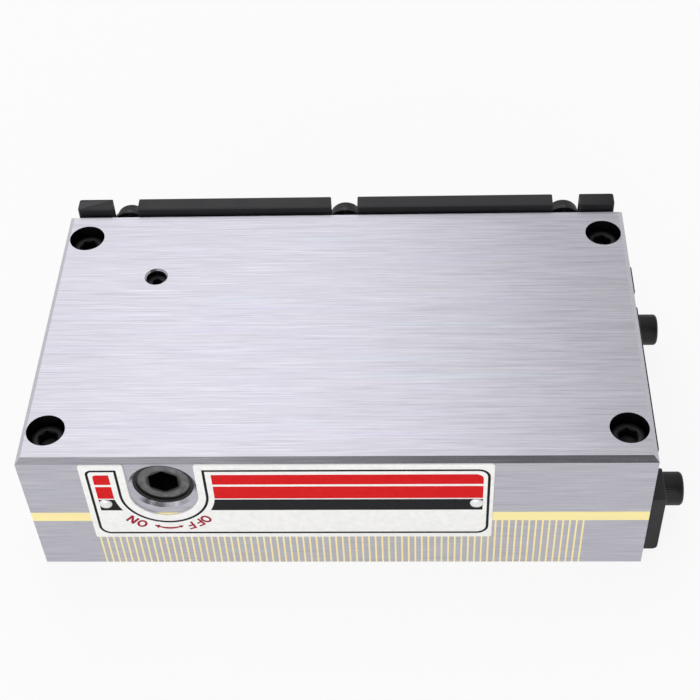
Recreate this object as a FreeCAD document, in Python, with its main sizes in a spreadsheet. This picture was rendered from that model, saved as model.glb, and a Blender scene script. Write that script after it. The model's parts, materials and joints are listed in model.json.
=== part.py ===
"""Permanent magnetic chuck with a fine laminated pole plate, lying on its work face.

A 175 x 100 x 48 mm block.  An eccentric shaft, turned half a turn with a hex key,
shifts the magnet core under the pole plate.  A rail along the back and a stop bar
at the right end slide past the work face on slotted screws.

Frame: origin at the centre of the work face, +X to the right along the block,
+Y towards the back rail, +Z from the work face (z = 0) to the base face.
"""
import FreeCAD, Part
import math
import os
import re
import Sketcher

SIZES = {
    # the block
    "block_length": 175.0,
    "block_width": 100.0,
    "block_height": 48.0,
    "pole_height": 20.5,
    "band_height": 4.0,
    "base_chamfer": 1.5,
    # laminated pole plate
    "steel_thickness": 1.4,
    "brass_thickness": 0.5,
    "lamination_count": 73,
    # M6 cap screws
    "thread_diameter": 6.0,
    "thread_clearance": 0.05,
    "cap_diameter": 10.0,
    "cap_height": 6.0,
    "cap_hex": 5.0,
    "cap_hex_depth": 3.0,
    # the four clamp screws at the corners
    "clamp_end_margin": 7.0,
    "clamp_side_margin": 11.0,
    "clamp_recess": 3.5,
    "clamp_length": 25.0,
    "counterbore_clearance": 0.45,
    "clearance_hole": 6.6,
    # actuating shaft
    "shaft_end_margin": 39.5,
    "shaft_depth": 11.5,
    "journal_diameter": 17.0,
    "journal_clearance": 0.05,
    "bore_end_wall": 10.0,
    "shaft_end_gap": 0.5,
    "shaft_recess": 1.2,
    "mouth_chamfer": 1.0,
    "eccentric_diameter": 9.0,
    "eccentric_length": 24.0,
    "shift_pitches": 3,
    "key_hex": 8.0,
    "key_depth": 14.0,
    "rim_width": 0.8,
    "rim_step": 0.6,
    # retaining screw that rides in the shaft's stop groove
    "stop_back_margin": 28.5,
    "stop_length": 12.0,
    "stop_recess": 2.5,
    "stop_offset": 0.1,
    "stop_clearance": 0.3,
    "stop_hex": 3.0,
    "stop_hex_depth": 3.0,
    "stop_mouth": 0.5,
    # magnet core and its cavity
    "element_count": 23,
    "element_width": 68.0,
    "frame_wall": 3.0,
    "frame_roof": 2.0,
    "core_low_height": 5.6,
    "core_high_height": 15.4,
    "core_clearance": 0.1,
    "core_end_gap": 1.0,
    "roof_gap": 0.3,
    "guide_thickness": 1.0,
    "guide_end_margin": 4.0,
    "bore_wall": 4.0,
    # yoke round the eccentric
    "yoke_slot_gap": 0.7,
    "yoke_jaw": 4.5,
    "yoke_side_gap": 1.0,
    "yoke_height": 14.6,
    "yoke_screw_diameter": 3.0,
    "yoke_screw_spacing": 13.0,
    "pocket_gap": 0.8,
    # nameplate
    "plate_thickness": 0.5,
    "plate_left": -70.3,
    "plate_length": 113.9,
    "plate_top_margin": 1.5,
    "plate_height": 33.2,
    "cutout_radius": 10.0,
    "cutout_drop": 3.7,
    "rivet_head": 3.8,
    "rivet_head_height": 0.8,
    "rivet_shank": 2.4,
    "rivet_length": 5.0,
    "rivet_left_margin": 5.3,
    "rivet_right_margin": 4.6,
    "rivet_height": 16.2,
    # washers under the rail and stop screws
    "washer_diameter": 12.0,
    "washer_thickness": 1.6,
    "washer_hole": 6.4,
    # back rail
    "rail_length": 170.0,
    "rail_height": 49.0,
    "rail_thickness": 5.0,
    "rail_lift": 1.0,
    "rail_rounding": 0.8,
    "rail_slot_width": 8.4,
    "rail_slot_spacing": 70.0,
    "rail_screw_depth": 10.0,
    "rail_cap_height": 4.0,
    "rail_screw_length": 16.0,
    # end stop
    "stopbar_length": 94.0,
    "stopbar_height": 24.0,
    "stopbar_thickness": 5.0,
    "stopbar_lift": 0.5,
    "stopbar_centre": 1.0,
    "stopbar_rounding": 1.6,
    "stopbar_slot_width": 6.8,
    "stopbar_slot_spacing": 64.4,
    "stopbar_screw_length": 18.0,
    "slide_gap": 0.1,
    "screw_end_gap": 1.0,
}

WORKED_OUT = {
    "half_length": "block_length / 2",
    "half_width": "block_width / 2",
    "housing_bottom": "pole_height + band_height",
    "pitch": "steel_thickness + brass_thickness",
    "stack_length": "lamination_count * pitch + brass_thickness",
    "end_block": "(block_length - stack_length) / 2",
    "shift": "shift_pitches * pitch",
    "throw": "shift / 2",
    "thread_hole": "thread_diameter + 2 * thread_clearance",
    # clamp screws
    "clamp_x": "half_length - clamp_end_margin",
    "clamp_y": "half_width - clamp_side_margin",
    "clamp_seat": "block_height - clamp_recess - cap_height",
    "counterbore": "cap_diameter + 2 * counterbore_clearance",
    # shaft
    "shaft_x": "shaft_end_margin - half_length",
    "shaft_z": "block_height - shaft_depth",
    "journal_radius": "journal_diameter / 2",
    "bore_radius": "journal_radius + journal_clearance",
    "bore_length": "block_width - bore_end_wall",
    "shaft_front": "shaft_recess - half_width",
    "eccentric_x": "shaft_x + throw",
    "eccentric_radius": "eccentric_diameter / 2",
    # retaining screw
    "stop_x": "shaft_x - journal_radius - stop_offset",
    "stop_y": "half_width - stop_back_margin",
    "stop_top": "block_height - stop_recess",
    "stop_tip": "stop_top - stop_length",
    "groove_width": "thread_diameter + 2 * stop_clearance",
    "groove_reach": "journal_radius + stop_offset - thread_diameter / 2",
    "groove_floor": "groove_reach - stop_clearance",
    "groove_below": "atan((shaft_z - stop_tip) / groove_reach) + groove_slack",
    "groove_above": "acos(groove_reach / journal_radius) + groove_slack",
    "groove_slack": "2 deg",
    # core: elements stand in a row, three pole pitches each
    "element_thickness": "shift",
    "row_length": "element_count * element_thickness",
    "row_left": "throw - row_length / 2",
    "core_length": "row_length + 2 * frame_wall",
    "core_width": "element_width + 2 * frame_wall",
    "core_bottom": "pole_height + core_clearance",
    "core_low_top": "core_bottom + core_low_height",
    "core_high_top": "core_bottom + core_high_height",
    "step_x": "shaft_x + bore_radius + bore_wall",
    "core_step_x": "step_x + core_end_gap + shift",
    "low_elements": "ceil((core_step_x + frame_wall - row_left) / element_thickness)",
    "high_left": "row_left + low_elements * element_thickness",
    "cavity_length": "core_length + shift + 2 * core_end_gap",
    "cavity_width": "core_width + 2 * core_clearance + 2 * guide_thickness",
    "cavity_low_top": "core_low_top + roof_gap",
    "cavity_high_top": "core_high_top + roof_gap",
    # yoke
    "yoke_slot": "eccentric_diameter + 2 * yoke_slot_gap",
    "yoke_length": "yoke_slot + 2 * yoke_jaw",
    "yoke_width": "eccentric_length - 2 * yoke_side_gap",
    "yoke_floor": "shaft_z - throw - eccentric_radius - roof_gap",
    "yoke_top": "core_low_top + yoke_height",
    "pocket_length": "yoke_length + shift + 2 * pocket_gap",
    "pocket_top": "yoke_top + roof_gap",
    "yoke_screw_length": "yoke_floor - core_low_top + frame_roof",
    # nameplate
    "plate_top": "block_height - plate_top_margin",
    "plate_bottom": "plate_top - plate_height",
    "plate_front": "0 - half_width - plate_thickness",
    "cutout_z": "shaft_z - cutout_drop",
    "rivet_left_x": "plate_left + rivet_left_margin",
    "rivet_right_x": "plate_left + plate_length - rivet_right_margin",
    "rivet_z": "plate_bottom + rivet_height",
    # back rail
    "rail_y": "half_width + slide_gap",
    "rail_top": "rail_lift + rail_height",
    "rail_screw_z": "block_height - rail_screw_depth",
    "rail_seat": "rail_y + rail_thickness + slide_gap",
    "rail_hole_depth": "rail_screw_length - rail_thickness - washer_thickness - 2 * slide_gap + screw_end_gap",
    # end stop
    "stopbar_x": "half_length + slide_gap",
    "stopbar_top": "stopbar_lift + stopbar_height",
    "stopbar_screw_z": "pole_height / 2",
    "stopbar_seat": "stopbar_x + stopbar_thickness + slide_gap",
    "stopbar_hole_depth": "stopbar_screw_length - stopbar_thickness - washer_thickness - 2 * slide_gap"
                          " + screw_end_gap",
}

WORD = re.compile(r"[a-z][a-z_]+")
Vector = FreeCAD.Vector
Rotation = FreeCAD.Rotation
UP = Vector(0, 0, 1)
TOWARDS = {"+X": Vector(1, 0, 0), "+Y": Vector(0, 1, 0), "-Y": Vector(0, -1, 0), "+Z": UP, "-Z": Vector(0, 0, -1)}

doc = FreeCAD.newDocument("magnetic_chuck")
sheet = doc.addObject("Spreadsheet::Sheet", "Dims")
for row, (alias, number) in enumerate(SIZES.items(), start=1):
    sheet.set(f"A{row}", alias)
    sheet.set(f"B{row}", str(number))
    sheet.setAlias(f"B{row}", alias)
doc.recompute()

nodes = []


# ---------------------------------------------------------------- formulas
def expand(formula):
    """Write a formula over the sheet's cells, with every worked-out name put in full."""
    def swap(match):
        word = match.group(0)
        if word in SIZES:
            return f"Dims.{word}"
        if word in WORKED_OUT:
            return f"({expand(WORKED_OUT[word])})"
        return word
    return WORD.sub(swap, formula)


def measure(formula):
    """The present value of a formula, in millimetres or degrees."""
    result = sheet.evalExpression(expand(formula))
    return float(getattr(result, "Value", result))


def bind(item, formulas):
    """Tie properties of one object to formulas."""
    for name, formula in formulas.items():
        item.setExpression(name, expand(formula))


def put(item, place, direction="+Z", spin=0.0):
    """Place an object by formulas, with its own Z axis along a direction."""
    item.Placement.Rotation = Rotation(UP, TOWARDS[direction]).multiply(Rotation(UP, spin))
    bind(item, {f"Placement.Base.{axis}": formula for axis, formula in zip("xyz", place)})


def keep(label, item):
    """Name a finished sub-part."""
    item.Label = label
    nodes.append(item)
    return item


# ---------------------------------------------------------------- primitives and booleans
def box(name, place, extent):
    item = doc.addObject("Part::Box", name)
    bind(item, dict(zip(("Length", "Width", "Height"), extent)))
    put(item, place)
    return item


def cylinder(name, place, direction, radius, length):
    item = doc.addObject("Part::Cylinder", name)
    bind(item, {"Radius": radius, "Height": length})
    put(item, place, direction)
    return item


def hexagon(name, place, direction, across_flats, depth):
    """A hexagonal prism with two corners on the line through its middle and local Y."""
    item = doc.addObject("Part::Prism", name)
    item.Polygon = 6
    bind(item, {"Circumradius": f"({across_flats}) / 2 / cos(30)", "Height": depth})
    put(item, place, direction, spin=30.0)
    return item


def fuse(name, pieces):
    if len(pieces) == 1:
        return pieces[0]
    item = doc.addObject("Part::MultiFuse", name)
    item.Shapes = pieces
    return item


def cut(name, base, tools):
    item = doc.addObject("Part::Cut", name)
    item.Base = base
    item.Tool = fuse(name + "_tools", tools)
    return item


def group(name, pieces):
    item = doc.addObject("Part::Compound", name)
    item.Links = pieces
    return item


# ---------------------------------------------------------------- sketches and features
def sketch(body, name, role, place=("0", "0", "0")):
    """A sketch on one of the body's origin planes, moved within and off that plane."""
    item = body.newObject("Sketcher::SketchObject", name)
    plane = next(f for f in body.Origin.OriginFeatures if f.Role == role)
    item.AttachmentSupport = (plane, "")
    item.MapMode = "FlatFace"
    bind(item, {f"AttachmentOffset.Base.{axis}": formula for axis, formula in zip("xyz", place)})
    return item


def fix(item, kind, geometry, formula, point=None):
    """Add one driving constraint whose value is a formula."""
    number = measure(formula)
    if point is None:
        index = item.addConstraint(Sketcher.Constraint(kind, geometry, number))
    else:
        index = item.addConstraint(Sketcher.Constraint(kind, -1, 1, geometry, point, number))
    item.setExpression(f"Constraints[{index}]", expand(formula))


def outline(item, corners):
    """A closed polygon through corners given as pairs of formulas."""
    spots = [Vector(measure(across), measure(along), 0) for across, along in corners]
    lines = [Part.LineSegment(a, b) for a, b in zip(spots, spots[1:] + spots[:1])]
    edges = item.addGeometry(lines)
    for edge, following in zip(edges, edges[1:] + edges[:1]):
        item.addConstraint(Sketcher.Constraint("Coincident", edge, 2, following, 1))
    for edge, (across, along) in zip(edges, corners):
        fix(item, "DistanceX", edge, across, point=1)
        fix(item, "DistanceY", edge, along, point=1)


def rectangle(item, across, along):
    """A rectangle centred on the sketch's origin."""
    right, top = f"({across}) / 2", f"({along}) / 2"
    left, bottom = f"0 - {right}", f"0 - {top}"
    outline(item, [(left, bottom), (right, bottom), (right, top), (left, top)])


def circles(item, centres, radius):
    for across, along in centres:
        centre = Vector(measure(across), measure(along), 0)
        circle = item.addGeometry(Part.Circle(centre, UP, measure(radius)))
        fix(item, "DistanceX", circle, across, point=3)
        fix(item, "DistanceY", circle, along, point=3)
        fix(item, "Radius", circle, radius)


def slot_mouth(item, width, reach):
    """A U opening upwards: a half circle round the sketch's origin and two straight sides."""
    radius, top = measure(width) / 2, measure(reach)
    arc = item.addGeometry(Part.ArcOfCircle(Part.Circle(Vector(), UP, radius), math.pi, 2 * math.pi))
    right = item.addGeometry(Part.LineSegment(Vector(radius, 0, 0), Vector(radius, top, 0)))
    across = item.addGeometry(Part.LineSegment(Vector(radius, top, 0), Vector(-radius, top, 0)))
    left = item.addGeometry(Part.LineSegment(Vector(-radius, top, 0), Vector(-radius, 0, 0)))
    for first, second in ((right, across), (across, left)):
        item.addConstraint(Sketcher.Constraint("Coincident", first, 2, second, 1))
    item.addConstraint(Sketcher.Constraint("Coincident", arc, 3, -1, 1))
    item.addConstraint(Sketcher.Constraint("Tangent", arc, 2, right, 1))
    item.addConstraint(Sketcher.Constraint("Tangent", left, 2, arc, 1))
    item.addConstraint(Sketcher.Constraint("Vertical", right))
    item.addConstraint(Sketcher.Constraint("Vertical", left))
    item.addConstraint(Sketcher.Constraint("Horizontal", across))
    fix(item, "Radius", arc, f"({width}) / 2")
    fix(item, "DistanceY", across, reach, point=1)


def pad(body, profile, length, midplane=False, reverse=False):
    feature = body.newObject("PartDesign::Pad", profile.Name + "_pad")
    feature.Profile = profile
    feature.Midplane = midplane
    feature.Reversed = reverse
    bind(feature, {"Length": length})
    profile.Visibility = False
    doc.recompute()
    return feature


def pocket(body, profile, depth, midplane=False, reverse=False):
    """Cut a profile into the body, and make sure that something came off."""
    volume = body.Shape.Volume
    feature = body.newObject("PartDesign::Pocket", profile.Name + "_cut")
    feature.Profile = profile
    feature.Midplane = midplane
    feature.Reversed = reverse
    bind(feature, {"Length": depth})
    doc.recompute()
    if not body.Shape.Volume < volume:
        raise RuntimeError(f"{profile.Name} cuts nothing")
    return feature


def edges_where(shape, test):
    """Names of the edges whose middle point and length pass a test."""
    found = []
    for number, edge in enumerate(shape.Edges, start=1):
        if test(edge.BoundBox):
            found.append(f"Edge{number}")
    return found


def dress(body, kind, name, amount, test):
    """A chamfer or fillet on the edges that pass a test."""
    base = body.Tip
    feature = body.newObject(f"PartDesign::{kind}", name)
    feature.Base = (base, edges_where(base.Shape, test))
    bind(feature, {"Size" if kind == "Chamfer" else "Radius": amount})
    doc.recompute()
    return feature


def near(first, second):
    return abs(first - second) < 1e-4


def signed(formula, sign):
    return formula if sign > 0 else f"0 - ({formula})"


CORNERS = [(signed("clamp_x", i), signed("clamp_y", j)) for i in (-1, 1) for j in (-1, 1)]
RAIL_X = [f"{k} * rail_slot_spacing" for k in (-1, 0, 1)]
STOPBAR_Y = [f"stopbar_centre + ({k}) * stopbar_slot_spacing / 2" for k in (-1, 1)]


# ---------------------------------------------------------------- screws and washers
def cap_screw(name, place, direction, cap_height, length):
    """A socket cap screw: its under-head plane is at the place, its head towards the direction."""
    body = doc.addObject("PartDesign::Body", name)
    profile = sketch(body, name + "_half", "XZ_Plane")
    rim, shank = "cap_diameter / 2", "thread_diameter / 2"
    outline(profile, [
        ("0", f"0 - ({length})"),
        (shank, f"0 - ({length})"),
        (shank, "0"),
        (rim, "0"),
        (rim, cap_height),
        ("0", cap_height),
    ])
    turned = body.newObject("PartDesign::Revolution", name + "_turned")
    turned.Profile = profile
    turned.ReferenceAxis = (profile, ["V_Axis"])
    turned.Angle = 360
    doc.recompute()
    socket = sketch(body, name + "_hex", "XY_Plane", ("0", "0", cap_height))
    corner = "cap_hex / 2 / cos(30)"
    outline(socket, [(f"{corner} * cos({60 * k + 30})", f"{corner} * sin({60 * k + 30})") for k in range(6)])
    pocket(body, socket, "cap_hex_depth")
    put(body, place, direction)
    return body


def washer(name, place, direction):
    outer = cylinder(name + "_disc", place, direction, "washer_diameter / 2", "washer_thickness")
    hole = cylinder(name + "_hole", place, direction, "washer_hole / 2", "washer_thickness")
    return cut(name, outer, [hole])


def make_clamp_screws():
    screws = [cap_screw(f"clamp_screw_{k}", (x, y, "clamp_seat"), "+Z", "cap_height", "clamp_length")
              for k, (x, y) in enumerate(CORNERS, start=1)]
    keep("clamp_screws", group("clamp_screws", screws))


def make_rail_fasteners():
    screws = []
    washers = []
    for k, x in enumerate(RAIL_X, start=1):
        head_at = (x, "rail_seat + washer_thickness", "rail_screw_z")
        screws.append(cap_screw(f"rail_screw_{k}", head_at, "+Y", "rail_cap_height", "rail_screw_length"))
        washers.append(washer(f"rail_washer_{k}", (x, "rail_seat", "rail_screw_z"), "+Y"))
    keep("rear_rail_screws", group("rear_rail_screws", screws))
    keep("rear_rail_washers", group("rear_rail_washers", washers))


def make_stop_fasteners():
    screws = []
    washers = []
    for k, y in enumerate(STOPBAR_Y, start=1):
        head_at = ("stopbar_seat + washer_thickness", y, "stopbar_screw_z")
        screws.append(cap_screw(f"stop_screw_{k}", head_at, "+X", "cap_height", "stopbar_screw_length"))
        washers.append(washer(f"stop_washer_{k}", ("stopbar_seat", y, "stopbar_screw_z"), "+X"))
    keep("end_stop_screws", group("end_stop_screws", screws))
    keep("end_stop_washers", group("end_stop_washers", washers))


# ---------------------------------------------------------------- block
def make_housing():
    """The ground steel housing: base face on top, open underneath for the magnet core."""
    body = keep("housing", doc.addObject("PartDesign::Body", "housing"))
    footprint = sketch(body, "housing_plan", "XY_Plane", ("0", "0", "housing_bottom"))
    rectangle(footprint, "block_length", "block_width")
    pad(body, footprint, "block_height - housing_bottom")
    top = measure("block_height")
    dress(body, "Chamfer", "base_edge_chamfer", "base_chamfer",
          lambda b: near(b.ZMin, top) and near(b.ZMax, top))

    low = sketch(body, "cavity_low", "XY_Plane", ("0", "0", "housing_bottom"))
    rectangle(low, "cavity_length", "cavity_width")
    pocket(body, low, "cavity_low_top - housing_bottom", reverse=True)
    high = sketch(body, "cavity_high", "XY_Plane",
                  ("(step_x + cavity_length / 2) / 2", "0", "housing_bottom"))
    rectangle(high, "cavity_length / 2 - step_x", "cavity_width")
    pocket(body, high, "cavity_high_top - housing_bottom", reverse=True)
    yoke_room = sketch(body, "yoke_pocket", "XY_Plane", ("shaft_x", "0", "housing_bottom"))
    rectangle(yoke_room, "pocket_length", "eccentric_length")
    pocket(body, yoke_room, "pocket_top - housing_bottom", reverse=True)

    bore = sketch(body, "shaft_bore", "XZ_Plane", ("shaft_x", "shaft_z", "half_width"))
    circles(bore, [("0", "0")], "bore_radius")
    pocket(body, bore, "bore_length")
    front = -measure("half_width")
    mouth = 2 * measure("bore_radius")
    dress(body, "Chamfer", "bore_mouth", "mouth_chamfer",
          lambda b: near(b.YMin, front) and near(b.YMax, front) and near(b.XLength, mouth))

    seats = sketch(body, "counterbores", "XY_Plane", ("0", "0", "block_height"))
    circles(seats, CORNERS, "counterbore / 2")
    pocket(body, seats, "block_height - clamp_seat")
    holes = sketch(body, "clamp_holes", "XY_Plane", ("0", "0", "block_height"))
    circles(holes, CORNERS, "clearance_hole / 2")
    pocket(body, holes, "block_height - housing_bottom")

    stop = sketch(body, "stop_hole", "XY_Plane", ("stop_x", "stop_y", "block_height"))
    circles(stop, [("0", "0")], "thread_hole / 2")
    pocket(body, stop, "block_height - stop_tip + screw_end_gap")
    stop_width = measure("thread_hole")
    dress(body, "Chamfer", "stop_mouth", "stop_mouth",
          lambda b: near(b.ZMin, top) and near(b.ZMax, top) and near(b.XLength, stop_width))

    tapped = sketch(body, "rail_holes", "XZ_Plane", ("0", "rail_screw_z", "0 - half_width"))
    circles(tapped, [(x, "0") for x in RAIL_X], "thread_hole / 2")
    pocket(body, tapped, "rail_hole_depth", reverse=True)
    pins = sketch(body, "rivet_holes", "XZ_Plane", ("0", "rivet_z", "half_width"))
    circles(pins, [("rivet_left_x", "0"), ("rivet_right_x", "0")], "rivet_shank / 2")
    pocket(body, pins, "rivet_length + screw_end_gap")


def make_separator_band():
    """Brass frame between the housing and the pole plate, open over the core."""
    body = keep("separator_band", doc.addObject("PartDesign::Body", "separator_band"))
    plan = sketch(body, "band_plan", "XY_Plane", ("0", "0", "pole_height"))
    rectangle(plan, "block_length", "block_width")
    rectangle(plan, "cavity_length", "cavity_width")
    circles(plan, CORNERS, "clearance_hole / 2")
    pad(body, plan, "band_height")


def make_pole_plate():
    """Solid end blocks with steel laminations and brass separators between them."""
    left = box("left_end", ("0 - half_length", "0 - half_width", "0"),
               ("end_block", "block_width", "pole_height"))
    right = box("right_end", ("stack_length / 2", "0 - half_width", "0"),
                ("end_block", "block_width", "pole_height"))
    tip = "clamp_seat - clamp_length - screw_end_gap"
    taps = [cylinder(f"clamp_tap_{k}", (x, y, tip), "+Z", "thread_hole / 2", f"pole_height - ({tip})")
            for k, (x, y) in enumerate(CORNERS, start=1)]
    side_taps = [cylinder(f"stop_tap_{k}", ("half_length - stopbar_hole_depth", y, "stopbar_screw_z"),
                          "+X", "thread_hole / 2", "stopbar_hole_depth")
                 for k, y in enumerate(STOPBAR_Y, start=1)]
    ends = [cut("left_end_block", left, taps[:2]), cut("right_end_block", right, taps[2:] + side_taps)]
    keep("pole_end_blocks", group("pole_end_blocks", ends))

    def leaves(label, count, start, thickness):
        sheets = []
        for k in range(count):
            leaf = Part.makeBox(measure(thickness), measure("block_width"), measure("pole_height"))
            leaf.translate(Vector(measure(start) + k * measure("pitch"), -measure("half_width"), 0))
            sheets.append(leaf)
        item = keep(label, doc.addObject("Part::Feature", label))
        item.Shape = Part.makeCompound(sheets)

    count = round(measure("lamination_count"))
    leaves("pole_separators", count + 1, "0 - stack_length / 2", "brass_thickness")
    leaves("pole_laminations", count, "brass_thickness - stack_length / 2", "steel_thickness")


# ---------------------------------------------------------------- actuating shaft
def make_shaft():
    """Shaft at OFF: its eccentric points to +X, and swings past the work side to -X at ON."""
    back = "half_width - bore_end_wall - shaft_end_gap"
    inner = "eccentric_length / 2"
    front_journal = cylinder("front_journal", ("shaft_x", "shaft_front", "shaft_z"), "+Y",
                             "journal_radius", f"0 - {inner} - shaft_front")
    back_journal = cylinder("back_journal", ("shaft_x", inner, "shaft_z"), "+Y",
                            "journal_radius", f"{back} - {inner}")
    eccentric = cylinder("eccentric", ("eccentric_x", f"0 - {inner}", "shaft_z"), "+Y",
                         "eccentric_radius", "eccentric_length")
    turned = fuse("turned_shaft", [front_journal, eccentric, back_journal])

    start = ("shaft_x", "shaft_front", "shaft_z")
    socket = hexagon("key_socket", start, "+Y", "key_hex", "key_depth")
    dish = cylinder("front_dish", start, "+Y", "journal_radius - rim_width", "rim_step")

    # the stop groove goes part of the way round: its two ends meet the retaining screw
    groove = doc.addObject("Part::Cylinder", "stop_groove_outer")
    sweep = "180 deg + groove_below + groove_above"
    bind(groove, {"Radius": "bore_radius", "Height": "groove_width", "Angle": sweep})
    groove_start = ("shaft_x", "stop_y - groove_width / 2", "shaft_z")
    put(groove, groove_start, "+Y", spin=-measure("groove_below"))
    core = cylinder("stop_groove_floor", groove_start, "+Y", "groove_floor", "groove_width")
    stop_groove = cut("stop_groove", groove, [core])
    keep("actuating_shaft", cut("actuating_shaft", turned, [socket, dish, stop_groove]))


def make_retaining_screw():
    place = ("stop_x", "stop_y", "stop_tip")
    shank = cylinder("retaining_shank", place, "+Z", "thread_diameter / 2", "stop_length")
    socket = hexagon("retaining_hex", ("stop_x", "stop_y", "stop_top - stop_hex_depth"), "+Z",
                     "stop_hex", "stop_hex_depth")
    keep("retaining_screw", cut("retaining_screw", shank, [socket]))


# ---------------------------------------------------------------- magnet core
def make_core():
    """Pole bars and magnets side by side in a brass tray that slides on the pole plate."""
    right = "row_left + row_length"
    tray = keep("core_frame", doc.addObject("PartDesign::Body", "core_frame"))
    side = sketch(tray, "tray_side", "XZ_Plane")
    outline(side, [
        ("row_left - frame_wall", "core_bottom"),
        (f"{right} + frame_wall", "core_bottom"),
        (f"{right} + frame_wall", "core_high_top"),
        ("high_left - frame_wall", "core_high_top"),
        ("high_left - frame_wall", "core_low_top"),
        ("row_left - frame_wall", "core_low_top"),
    ])
    pad(tray, side, "core_width", midplane=True)
    hollow = sketch(tray, "tray_hollow", "XZ_Plane")
    outline(hollow, [
        ("row_left", "core_bottom"),
        (right, "core_bottom"),
        (right, "core_high_top - frame_roof"),
        ("high_left", "core_high_top - frame_roof"),
        ("high_left", "core_low_top - frame_roof"),
        ("row_left", "core_low_top - frame_roof"),
    ])
    pocket(tray, hollow, "element_width", midplane=True)
    screw_holes = sketch(tray, "tray_taps", "XY_Plane", ("eccentric_x", "0", "core_low_top"))
    spots = [("0", signed("yoke_screw_spacing / 2", k)) for k in (-1, 1)]
    circles(screw_holes, spots, "yoke_screw_diameter / 2")
    pocket(tray, screw_holes, "frame_roof")

    count = round(measure("element_count"))
    low_count = round(measure("low_elements"))
    step = measure("element_thickness")
    for label, first in (("core_pole_bars", 0), ("core_magnets", 1)):
        bars = []
        for k in range(first, count, 2):
            top = "core_low_top" if k < low_count else "core_high_top"
            bar = Part.makeBox(step, measure("element_width"), measure(f"{top} - frame_roof - core_bottom"))
            bar.translate(Vector(measure("row_left") + k * step, -measure("element_width") / 2,
                                 measure("core_bottom")))
            bars.append(bar)
        item = keep(label, doc.addObject("Part::Feature", label))
        item.Shape = Part.makeCompound(bars)


def make_yoke():
    """A fork open towards the base: its jaws straddle the eccentric and carry the core along."""
    yoke = keep("drive_yoke", doc.addObject("PartDesign::Body", "drive_yoke"))
    side = sketch(yoke, "yoke_side", "XZ_Plane", ("eccentric_x", "0", "0"))
    outer, inner = "yoke_length / 2", "yoke_slot / 2"
    outline(side, [
        (f"0 - {outer}", "core_low_top"),
        (outer, "core_low_top"),
        (outer, "yoke_top"),
        (inner, "yoke_top"),
        (inner, "yoke_floor"),
        (f"0 - {inner}", "yoke_floor"),
        (f"0 - {inner}", "yoke_top"),
        (f"0 - {outer}", "yoke_top"),
    ])
    pad(yoke, side, "yoke_width", midplane=True)
    spots = [("0", signed("yoke_screw_spacing / 2", k)) for k in (-1, 1)]
    holes = sketch(yoke, "yoke_screw_holes", "XY_Plane", ("eccentric_x", "0", "yoke_floor"))
    circles(holes, spots, "yoke_screw_diameter / 2")
    pocket(yoke, holes, "yoke_floor - core_low_top")

    screws = []
    for k, (_, y) in enumerate(spots, start=1):
        place = ("eccentric_x", y, "yoke_floor - yoke_screw_length")
        screws.append(cylinder(f"yoke_screw_{k}", place, "+Z", "yoke_screw_diameter / 2", "yoke_screw_length"))
    keep("yoke_screws", group("yoke_screws", screws))


def make_guides():
    """Brass strips on the cavity's long walls, which the core slides between."""
    length = "cavity_length - 2 * guide_end_margin"
    height = "cavity_low_top - pole_height - roof_gap"
    back = box("back_guide", (f"0 - ({length}) / 2", "cavity_width / 2 - guide_thickness", "pole_height"),
               (length, "guide_thickness", height))
    front = box("front_guide", (f"0 - ({length}) / 2", "0 - cavity_width / 2", "pole_height"),
                (length, "guide_thickness", height))
    keep("core_guides", group("core_guides", [front, back]))


# ---------------------------------------------------------------- nameplate
def make_nameplate():
    plate = keep("nameplate", doc.addObject("PartDesign::Body", "nameplate"))
    face = sketch(plate, "plate_face", "XZ_Plane", ("plate_left", "plate_bottom", "half_width"))
    outline(face, [("0", "0"), ("plate_length", "0"), ("plate_length", "plate_height"), ("0", "plate_height")])
    pad(plate, face, "plate_thickness")
    cutout = sketch(plate, "plate_cutout", "XZ_Plane", ("shaft_x", "cutout_z", "half_width + plate_thickness"))
    slot_mouth(cutout, "2 * cutout_radius", "plate_top - cutout_z + plate_top_margin")
    pocket(plate, cutout, "plate_thickness")
    pins = sketch(plate, "plate_holes", "XZ_Plane", ("0", "rivet_z", "half_width + plate_thickness"))
    spots = ("rivet_left_x", "rivet_right_x")
    circles(pins, [(x, "0") for x in spots], "rivet_shank / 2")
    pocket(plate, pins, "plate_thickness")

    rivets = []
    for k, x in enumerate(spots, start=1):
        head = cylinder(f"rivet_head_{k}", (x, "plate_front", "rivet_z"), "-Y",
                        "rivet_head / 2", "rivet_head_height")
        shank = cylinder(f"rivet_shank_{k}", (x, "plate_front", "rivet_z"), "+Y",
                         "rivet_shank / 2", "rivet_length")
        rivets.append(fuse(f"rivet_{k}", [head, shank]))
    keep("nameplate_rivets", group("nameplate_rivets", rivets))


# ---------------------------------------------------------------- rail and stop
def make_rear_rail():
    """Steel rail along the back, with three slots open towards the base."""
    rail = keep("rear_rail", doc.addObject("PartDesign::Body", "rear_rail"))
    face = sketch(rail, "rail_face", "XZ_Plane", ("0", "rail_lift + rail_height / 2", "0 - rail_y"))
    rectangle(face, "rail_length", "rail_height")
    pad(rail, face, "rail_thickness", reverse=True)
    half = measure("rail_length / 2")
    dress(rail, "Fillet", "rail_corners", "rail_rounding",
          lambda b: near(abs(b.XMin), half) and near(b.XLength, 0) and near(b.YLength, 0))
    for k, x in enumerate(RAIL_X, start=1):
        slot = sketch(rail, f"rail_slot_{k}", "XZ_Plane", (x, "rail_screw_z", "0 - rail_y"))
        slot_mouth(slot, "rail_slot_width", "rail_top - rail_screw_z")
        pocket(rail, slot, "rail_thickness")


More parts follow.
